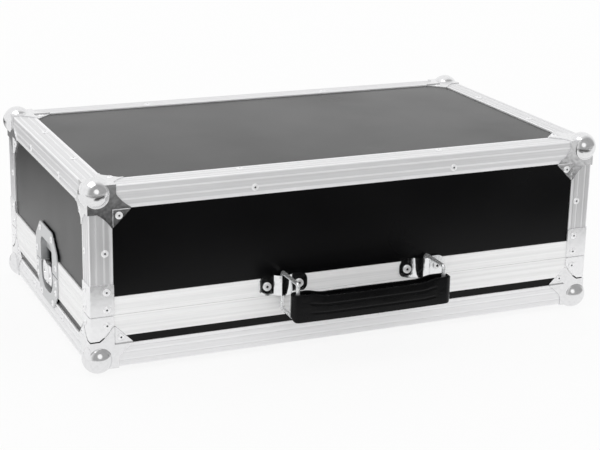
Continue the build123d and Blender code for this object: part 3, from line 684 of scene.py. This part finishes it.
def grip_reach(outer, height):
    """Lowest and highest level of the band at a place: rounded off at its two ends, and lower in front."""
    s = sizes()
    past = abs(outer[0]) - (s.grip_pitch / 2 + s.grip_end - s.grip_corner)
    drop = s.grip_corner - math.sqrt(max(0.0, s.grip_corner ** 2 - max(0.0, past) ** 2))
    drop *= GRIP_END_ROUNDING
    lip = s.grip_lip * smoothstep(0.0, s.grip_end, -outer[1])
    return drop - lip, height - drop - grip_dip(outer[0])


def grip_swell(x, share):
    """How far the band's outside stands out at this share of its height, between and at the pressed lines."""
    s = sizes()
    stop = s.grip_pitch / 2 - s.grip_channel_stop
    full = 1 - smoothstep(stop - GRIP_LINE_FADES[0], stop + GRIP_LINE_FADES[1], abs(x))
    half_line = 0.5 * s.grip_channel_width / s.grip_height
    pressed = sum(math.exp(-((share - line) / half_line) ** 2) for line in GRIP_LINES)
    crown = s.grip_bulge * (1 - (2 * share - 1) ** 2)
    return full * (crown - s.grip_channel * pressed) + (1 - full) * GRIP_END_SWELL * crown


def grip_band(centre, low, height):
    """The vinyl band: one loop round both rings, with rounded edges and two lines pressed along each face."""
    shape = bmesh.new()
    edge = sizes().grip_edge
    rings = []
    for outer, inner in grip_stations():
        bottom, top = grip_reach(outer, height)
        tall = top - bottom - 2 * edge
        outer, inner = Vector(outer), Vector(inner)
        out = (outer - inner).normalized()
        column = []
        for i in range(GRIP_STEPS_OUTSIDE + 1):
            share = i / GRIP_STEPS_OUTSIDE
            column.append((outer + out * grip_swell(outer.x, share), bottom + edge + tall * share))
        for share, rise in GRIP_ROUNDING:
            column.append((outer - out * edge * share, top - edge + edge * rise))
        for share, rise in reversed(GRIP_ROUNDING):
            column.append((inner + out * edge * share, top - edge + edge * rise))
        for i in range(GRIP_STEPS_INSIDE + 1):
            column.append((inner, top - edge - tall * i / GRIP_STEPS_INSIDE))
        for share, rise in GRIP_ROUNDING:
            column.append((inner + out * edge * share, bottom + edge - edge * rise))
        for share, rise in reversed(GRIP_ROUNDING):
            column.append((outer - out * edge * share, bottom + edge - edge * rise))
        rings.append([shape.verts.new((centre.x + p.x, centre.y + p.y, low + level)) for p, level in column])
    for ring, following in zip(rings, rings[1:] + rings[:1]):
        join_rings(shape, ring, following)
    bmesh.ops.recalc_face_normals(shape, faces=shape.faces)
    return shape


def join_rings(shape, ring, following):
    """Faces between two rings of as many points."""
    for j in range(len(ring)):
        k = (j + 1) % len(ring)
        shape.faces.new((ring[j], ring[k], following[k], following[j]))


def grip_pad(centre, low, height):
    """The padding between the band's two long walls: a long crowned cushion with rounded ends."""
    s = sizes()
    half = s.grip_pitch / 2
    reach = half + s.grip_eye_reach - s.grip_eye_length
    eye_centre = half + s.grip_eye_reach - s.grip_eye
    middle = s.grip_middle - s.grip_wall
    tall = height - 2 * s.pad_recess
    shape = bmesh.new()
    rings = []
    for i in range(PAD_STEPS + 1):
        x = reach * math.sin(math.pi * i / PAD_STEPS - math.pi / 2)
        width = middle - (middle - s.grip_eye) * (abs(x) / eye_centre) ** 2 + PAD_PRESS
        full = min(1.0, math.sqrt(max(0.0, 1 - smoothstep(reach - PAD_END, reach, abs(x)))) + PAD_TIP)
        ring = []
        for j in range(PAD_AROUND):
            angle = 2 * math.pi * j / PAD_AROUND
            c, v = math.cos(angle), math.sin(angle)
            across = math.copysign(abs(c) ** PAD_SQUARE_ACROSS, c) * width
            across *= PAD_END_WIDTH + (1 - PAD_END_WIDTH) * full
            up = math.copysign(abs(v) ** PAD_SQUARE_UP, v) * tall / 2
            up *= PAD_END_HEIGHT + (1 - PAD_END_HEIGHT) * full
            if v > 0:
                up -= grip_dip(x)
            ring.append(shape.verts.new((centre.x + x, centre.y + across, low + height / 2 + up)))
        rings.append(ring)
    for ring, following in zip(rings, rings[1:]):
        join_rings(shape, ring, following)
    shape.faces.new(rings[0])
    shape.faces.new(list(reversed(rings[-1])))
    bmesh.ops.recalc_face_normals(shape, faces=shape.faces)
    return shape


def rivet_heads(node):
    """The outer end of each rivet's head and the way that it faces, read from the merged rivets."""
    shape = bmesh.new()
    shape.from_mesh(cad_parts[node].data)
    bmesh.ops.remove_doubles(shape, verts=shape.verts, dist=1e-6)
    low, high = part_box(node)
    middle = (low + high) / 2
    found, seen = [], set()
    for start in shape.verts:
        if start in seen:
            continue
        island, queue = [], [start]
        seen.add(start)
        while queue:
            vert = queue.pop()
            island.append(vert.co)
            for link in vert.link_edges:
                other = link.other_vert(vert)
                if other not in seen:
                    seen.add(other)
                    queue.append(other)
        lowest = Vector([min(co[i] for co in island) for i in range(3)])
        highest = Vector([max(co[i] for co in island) for i in range(3)])
        # A rivet is as wide as it is deep across its own axis
        size = highest - lowest
        axis = min(range(3), key=lambda i: abs(size[(i + 1) % 3] - size[(i + 2) % 3]))
        top = (lowest + highest) / 2
        way = Vector((0, 0, 0))
        way[axis] = 1.0 if top[axis] > middle[axis] else -1.0
        top[axis] = highest[axis] if way[axis] > 0 else lowest[axis]
        found.append((top, way))
    shape.free()
    return found


def mandrels(node, radius):
    """A broken steel pin, slightly domed, down in the head of each rivet and dark as the painted shade in its
    bore, or a dark disc of painted shade in a screw's socket.
    """
    sunk = sizes().mandrel_depth + PIN_LENGTH / 2
    shape = bmesh.new()
    for top, way in rivet_heads(node):
        turn = way.to_track_quat("Z", "Y").to_matrix().to_4x4()
        bmesh.ops.create_cone(
            shape,
            cap_ends=True,
            segments=PIN_SIDES,
            radius1=radius,
            radius2=PIN_TIP * radius,
            depth=PIN_LENGTH,
            matrix=Matrix.Translation(top - way * sunk) @ turn,
        )
    return shape


def foam_strip(shape, outline, low, high):
    """Adds a strip of foam with rounded edges: an outline seen from above, between two levels."""
    face = shape.faces.new([shape.verts.new((x, y, low)) for x, y in outline])
    drawn = bmesh.ops.extrude_face_region(shape, geom=[face], use_keep_orig=True)
    raised = [item for item in drawn["geom"] if isinstance(item, bmesh.types.BMVert)]
    bmesh.ops.translate(shape, verts=raised, vec=(0, 0, high - low))
    corners = set(face.verts) | set(raised)
    edges = list({edge for corner in corners for edge in corner.link_edges})
    bmesh.ops.bevel(
        shape, geom=edges, offset=sizes().foam_edge, segments=3, affect="EDGES", profile=0.5, material=-1
    )


def foam_walls(node, dish):
    """Four strips of foam round the walls, butted at the corners, the short two notched behind the latch."""
    s = sizes()
    low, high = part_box(node)
    middle = (low + high) / 2
    far, deep, _ = (high - low) / 2
    side = far - s.foam_wall
    end = deep - s.foam_wall
    notch = middle.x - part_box(dish)[1].x - s.foam_notch_gap
    half = s.foam_notch / 2
    long_side = ((-far, end), (far, end), (far, deep), (-far, deep))
    short_side = (
        (side, -end), (far, -end), (far, -half), (notch, -half),
        (notch, half), (far, half), (far, end), (side, end),
    )
    shape = bmesh.new()
    for outline in (long_side, short_side):
        for way in (1, -1):
            placed = [(middle.x + way * x, middle.y + way * y) for x, y in outline]
            foam_strip(shape, placed, low.z, high.z)
    bmesh.ops.recalc_face_normals(shape, faces=shape.faces)
    return shape


def foam_peaks(node, way):
    """A slab of convoluted foam: one flat face, and rows of soft peaks on the face turned to the inside."""
    s = sizes()
    low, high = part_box(node)
    size = high - low
    across = max(2, round(size.x / s.foam_pitch))
    deep = max(2, round(size.y / s.foam_pitch))
    flat, crest = (low.z, high.z) if way > 0 else (high.z, low.z)
    shape = bmesh.new()
    bmesh.ops.create_grid(
        shape,
        x_segments=across * PEAK_STEPS,
        y_segments=deep * PEAK_STEPS,
        size=0.5,
        matrix=Matrix.Translation(((low.x + high.x) / 2, (low.y + high.y) / 2, crest))
        @ Matrix.Diagonal((size.x, size.y, 1.0, 1.0)),
    )
    for vert in shape.verts:
        u = (vert.co.x - low.x) / size.x * across
        v = (vert.co.y - low.y) / size.y * deep
        peak = 0.5 - 0.25 * (math.cos(2 * math.pi * u) + math.cos(2 * math.pi * v))
        vert.co.z -= way * s.foam_relief * (1 - peak)
    border = [edge for edge in shape.edges if edge.is_boundary]
    walls = bmesh.ops.extrude_edge_only(shape, edges=border)
    for item in walls["geom"]:
        if isinstance(item, bmesh.types.BMVert):
            item.co.z = flat
    rim = [item for item in walls["geom"] if isinstance(item, bmesh.types.BMEdge) and item.is_boundary]
    bmesh.ops.contextual_create(shape, geom=rim)
    bmesh.ops.recalc_face_normals(shape, faces=shape.faces)
    return shape


# Studio


def card_material(name, strength, fades):
    """A reflector card: an even grey light that fades out at its edges."""
    material, tree = blank(name)
    place = add(tree, "ShaderNodeTexCoord")
    centred = add(
        tree,
        "ShaderNodeVectorMath",
        {0: place.outputs["UV"], 1: (0.5, 0.5, 0)},
        operation="SUBTRACT",
    )
    if isinstance(fades, float):
        away = add(tree, "ShaderNodeVectorMath", {0: centred.outputs[0]}, operation="LENGTH")
        cover = add(
            tree,
            "ShaderNodeMapRange",
            {
                "Value": away.outputs["Value"],
                "From Min": 0.5 - fades,
                "From Max": 0.5,
                "To Min": 1.0,
                "To Max": 0.0,
            },
        )
    else:
        split = add(tree, "ShaderNodeSeparateXYZ", {0: centred.outputs[0]})
        covers = []
        for side, (low, high) in enumerate(fades):
            rise = add(
                tree,
                "ShaderNodeMapRange",
                {"Value": split.outputs[side], "From Min": -0.5, "From Max": low - 0.5},
            )
            fall = add(
                tree,
                "ShaderNodeMapRange",
                {
                    "Value": split.outputs[side],
                    "From Min": 0.5 - high,
                    "From Max": 0.5,
                    "To Min": 1.0,
                    "To Max": 0.0,
                },
            )
            both = {0: rise.outputs[0], 1: fall.outputs[0]}
            covers.append(add(tree, "ShaderNodeMath", both, operation="MULTIPLY").outputs[0])
        cover = add(tree, "ShaderNodeMath", {0: covers[0], 1: covers[1]}, operation="MULTIPLY")
    light = add(tree, "ShaderNodeEmission", {"Color": (strength, strength, strength, 1), "Strength": 1.0})
    clear = add(tree, "ShaderNodeBsdfTransparent")
    mixed = add(
        tree,
        "ShaderNodeMixShader",
        {0: cover.outputs[0], 1: clear.outputs[0], 2: light.outputs[0]},
    )
    add(tree, "ShaderNodeOutputMaterial", {"Surface": mixed.outputs[0]})
    return material


def studio_card(name, middle, size, strength, fades, facing):
    """A flat card, lying down unless it is turned to face a point, and seen only in reflections."""
    turn = Matrix.Identity(4)
    if facing is not None:
        turn = (Vector(facing) - Vector(middle)).to_track_quat("Z", "Y").to_matrix().to_4x4()
    place = Matrix.Translation(middle) @ turn @ Matrix.Diagonal((*size, 1, 1))
    shape = bmesh.new()
    shape.loops.layers.uv.new("UVMap")
    bmesh.ops.create_grid(shape, x_segments=1, y_segments=1, size=0.5, calc_uvs=True, matrix=place)
    card = made(name, shape, card_material(name, strength, fades), smooth=False)
    for ray in ("camera", "diffuse", "transmission", "volume_scatter", "shadow"):
        setattr(card, "visible_" + ray, False)
    return card


def studio_world():
    """White all round, but in reflections the room in front of the case is mid grey."""
    world = bpy.data.worlds.new("studio")
    world.use_nodes = True
    tree = world.node_tree
    tree.nodes.clear()
    way = add(tree, "ShaderNodeTexCoord").outputs["Generated"]
    towards = Vector(GREY_ROOM_WAY).normalized()
    facing = add(tree, "ShaderNodeVectorMath", {0: way, 1: towards}, operation="DOT_PRODUCT")
    share = add(
        tree,
        "ShaderNodeMapRange",
        {
            "Value": facing.outputs["Value"],
            "From Min": GREY_ROOM_EDGE[0],
            "From Max": GREY_ROOM_EDGE[1],
        },
    )
    glossy = add(tree, "ShaderNodeLightPath").outputs["Is Glossy Ray"]
    cover = add(tree, "ShaderNodeMath", {0: share.outputs[0], 1: glossy}, operation="MULTIPLY")
    shade = add(
        tree,
        "ShaderNodeMapRange",
        {"Value": cover.outputs[0], "To Min": 1.0, "To Max": GREY_ROOM},
    )
    sky = add(tree, "ShaderNodeBackground", {"Color": shade.outputs[0], "Strength": 1.0})
    add(tree, "ShaderNodeOutputWorld", {"Surface": sky.outputs[0]})
    return world


def pale_floor():
    """Pale studio floor: nearly white to the camera, with the case's soft shadow left on it."""
    material, tree = blank("pale_studio_floor")
    matt = add(tree, "ShaderNodeBsdfDiffuse", {"Color": (*colours().floor, 1.0)})
    glow = add(tree, "ShaderNodeEmission", {"Color": (1, 1, 1, 1), "Strength": 1.0})
    shown = add(tree, "ShaderNodeMixShader", {0: FLOOR_GLOW, 1: matt.outputs[0], 2: glow.outputs[0]})
    rays = add(tree, "ShaderNodeLightPath")
    seen = add(
        tree,
        "ShaderNodeMath",
        {0: rays.outputs["Is Camera Ray"], 1: rays.outputs["Is Glossy Ray"]},
        operation="MAXIMUM",
    )
    mixed = add(tree, "ShaderNodeMixShader", {0: seen.outputs[0], 1: matt.outputs[0], 2: shown.outputs[0]})
    add(tree, "ShaderNodeOutputMaterial", {"Surface": mixed.outputs[0]})
    return material


class DressOperator:
    """Shared settings of the operators"""

    bl_options = {"REGISTER", "UNDO"}


class FLIGHTCASE_OT_stage(DressOperator, bpy.types.Operator):
    """Sets up the camera, the pale floor and plain soft light"""

    bl_idname = "flightcase.stage"
    bl_label = "Studio"

    def execute(self, context):
        camera = bpy.data.objects.new("camera", bpy.data.cameras.new("camera"))
        camera.data.lens = CAMERA_LENS
        camera.data.sensor_width = SENSOR_WIDTH
        camera.data.clip_end = CAMERA_FAR
        camera.location = CAMERA_PLACE
        camera.rotation_euler = Euler([math.radians(angle) for angle in CAMERA_TURN], "XYZ")
        context.scene.collection.objects.link(camera)
        context.scene.camera = camera
        context.scene.view_settings.view_transform = "Standard"
        context.scene.world = studio_world()
        shape = bmesh.new()
        bmesh.ops.create_grid(shape, x_segments=1, y_segments=1, size=FLOOR_SIZE)
        floor = made("studio_floor", shape, pale_floor(), smooth=False)
        [studio_card(*card) for card in CARDS]
        return {"FINISHED"}


class FLIGHTCASE_OT_boards(DressOperator, bpy.types.Operator):
    """Gives the boards their black laminate"""

    bl_idname = "flightcase.boards"
    bl_label = "Boards"

    def execute(self, context):
        names = [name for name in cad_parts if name.endswith("_panel")]
        dress(black_laminate(), *names)
        return {"FINISHED"}


class FLIGHTCASE_OT_profiles(DressOperator, bpy.types.Operator):
    """Gives the edge and closing profiles their satin aluminium"""

    bl_idname = "flightcase.profiles"
    bl_label = "Profiles"

    def execute(self, context):
        c = colours()
        level = satin_aluminium(
            "satin_aluminium_closing_profiles", c.closing, "xy", roughness=0.5, metallic=0.1
        )
        # The flats between the painted highlights get painted shade: lightest on the base's edge profiles,
        # darker on the lid's, darkest on the posts
        for half, flat in (("base", 0.93), ("lid", 0.82)):
            finish = {"roughness": 0.45, "metallic": 0.36, "flat": flat}
            name = "satin_aluminium_" + half
            lengthways = satin_aluminium(name + "_long_edges", c.aluminium, "x", **finish)
            sideways = satin_aluminium(name + "_short_edges", c.aluminium, "y", **finish)
            dress(lengthways, half + "_front_edge", half + "_back_edge")
            dress(sideways, half + "_left_edge", half + "_right_edge")
            dress(level, half + "_rim")
        posts = satin_aluminium(
            "satin_aluminium_posts", c.aluminium, "z", roughness=0.38, metallic=0.7, flat=0.78
        )
        dress(posts, "lid_corner_posts")
        return {"FINISHED"}


class FLIGHTCASE_OT_corners(DressOperator, bpy.types.Operator):
    """Gives the ball corners and closure corners their plating"""

    bl_idname = "flightcase.corners"
    bl_label = "Corners"

    def execute(self, context):
        c = colours()
        bright = plated_steel("bright_plated_steel", c.plated, roughness=0.12, marks=0.08)
        dress(bright, *matching("base_ball", "lid_ball"))
        satin = plated_steel("satin_plated_steel", c.plate, roughness=0.2, marks=0.06, metallic=0.9)
        dress(satin, "base_closure_corners", "lid_closure_corners")
        return {"FINISHED"}


class FLIGHTCASE_OT_rivets(DressOperator, bpy.types.Operator):
    """Gives the rivets their bright heads and sets a broken steel pin, near black as painted shade, in each,
    and a disc of painted shade in each handle screw
    """

    bl_idname = "flightcase.rivets"
    bl_label = "Rivets"

    def execute(self, context):
        heads = plated_steel(
            "bright_rivet_aluminium", colours().rivet, roughness=0.3, marks=0.08, metallic=0.4
        )
        dress(heads, "base_rivets", "lid_rivets")
        pin_steel_shade = dull_steel_shade()
        s = sizes()
        for half in ("base", "lid"):
            shape = mandrels(half + "_rivets", s.mandrel_radius)
            pins = made(half + "_rivet_pins", shape, pin_steel_shade, smooth=False)
            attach(pins, half)
        # A dark disc of painted shade in each handle screw's socket
        shape = mandrels("handle_screws", s.socket_shade_radius)
        screw_shade = made("handle_screw_socket_shade", shape, pin_steel_shade, smooth=False)
        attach(screw_shade, "lid")
        return {"FINISHED"}


class FLIGHTCASE_OT_latches(DressOperator, bpy.types.Operator):
    """Gives the latches their plated steel"""

    bl_idname = "flightcase.latches"
    bl_label = "Latches"

    def execute(self, context):
        c = colours()
        # The dishes get painted shade on their floors
        dish = plated_steel(
            "plated_latch_dish", c.latch, roughness=0.28, marks=0.1, metallic=0.35, scratches=0.1, dish=True
        )
        dress(dish, *matching("latch_dish", "keeper_dish"))
        works = plated_steel("plated_latch_works", c.works, roughness=0.26, marks=0.1, metallic=0.85)
        dress(works, *matching("latch_rotor", "latch_hook", "latch_pins"))
        wing = plated_steel("plated_latch_wing", c.works, roughness=0.2, marks=0.08)
        dress(wing, *matching("latch_wing"))
        return {"FINISHED"}


class FLIGHTCASE_OT_handle(DressOperator, bpy.types.Operator):
    """Gives the handle its chrome and makes its padded vinyl grip"""

    bl_idname = "flightcase.handle"
    bl_label = "Handle"

    def execute(self, context):
        c = colours()
        # Polished chrome on the pressed brackets is a sharp mirror; the wire's nickel is softer
        chrome = plated_steel("polished_chrome", c.chrome, roughness=0.06, marks=0.05)
        dress(chrome, *matching("handle_bracket"))
        wire = plated_steel("nickel_plated_wire", c.chrome, roughness=0.24, marks=0.06, metallic=0.7)
        dress(wire, *matching("handle_ring"))
        screws = plated_steel("zinc_plated_screw", c.rivet, roughness=0.34, marks=0.08, metallic=0.6)
        dress(screws, "handle_screws")
        low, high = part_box("handle_strap")
        centre = (low + high) / 2
        height = high.z - low.z
        vinyl = black_vinyl()
        band = made("handle_grip_band", grip_band(centre, low.z, height), vinyl)
        pad = made("handle_grip_pad", grip_pad(centre, low.z, height), vinyl)
        for piece, fill in ((band, 0.8), (pad, 0.7)):
            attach(piece, "handle_strap")
        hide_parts("handle_strap")
        return {"FINISHED"}


class FLIGHTCASE_OT_foam(DressOperator, bpy.types.Operator):
    """Makes the foam lining of both halves"""

    bl_idname = "flightcase.foam"
    bl_label = "Foam Lining"

    def execute(self, context):
        foam = open_cell_foam()
        pieces = {
            "base_wall_foam": ("base_foam_walls", foam_walls("base_wall_foam", "latch_dish_left")),
            "lid_wall_foam": ("lid_foam_walls", foam_walls("lid_wall_foam", "keeper_dish_left")),
            "base_floor_foam": ("base_foam_floor", foam_peaks("base_floor_foam", 1)),
            "lid_top_foam": ("lid_foam_top", foam_peaks("lid_top_foam", -1)),
        }
        for node, (name, shape) in pieces.items():
            piece = made(name, shape, foam)
            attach(piece, node.split("_")[0])
            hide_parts(node)
        return {"FINISHED"}


class FLIGHTCASE_PT_panel(bpy.types.Panel):
    """Lists the case's sizes, colours and pieces"""

    bl_idname = "FLIGHTCASE_PT_panel"
    bl_label = "Flight Case"
    bl_space_type = "VIEW_3D"
    bl_region_type = "UI"
    bl_category = "Flight Case"

    def draw(self, context):
        for group in (context.scene.flight_case_sizes, context.scene.flight_case_colours):
            column = self.layout.column(align=True)
            for name in group.bl_rna.properties.keys():
                if name not in ("rna_type", "name"):
                    column.prop(group, name)
        for operator in OPERATORS:
            self.layout.operator(operator.bl_idname)


OPERATORS = (
    FLIGHTCASE_OT_stage,
    FLIGHTCASE_OT_boards,
    FLIGHTCASE_OT_profiles,
    FLIGHTCASE_OT_corners,
    FLIGHTCASE_OT_rivets,
    FLIGHTCASE_OT_latches,
    FLIGHTCASE_OT_handle,
    FLIGHTCASE_OT_foam,
)
CLASSES = (FlightCaseSizes, FlightCaseColours, *OPERATORS, FLIGHTCASE_PT_panel)


def register():
    for each in CLASSES:
        bpy.utils.register_class(each)
    bpy.types.Scene.flight_case_sizes = bpy.props.PointerProperty(type=FlightCaseSizes)
    bpy.types.Scene.flight_case_colours = bpy.props.PointerProperty(type=FlightCaseColours)


def unregister():
    del bpy.types.Scene.flight_case_colours
    del bpy.types.Scene.flight_case_sizes
    for each in reversed(CLASSES):
        bpy.utils.unregister_class(each)


def main():
    register()
    bpy.ops.flightcase.stage()
    bpy.ops.flightcase.boards()
    bpy.ops.flightcase.profiles()
    bpy.ops.flightcase.corners()
    bpy.ops.flightcase.rivets()
    bpy.ops.flightcase.latches()
    bpy.ops.flightcase.handle()
    bpy.ops.flightcase.foam()


if __name__ == "__main__":
    main()
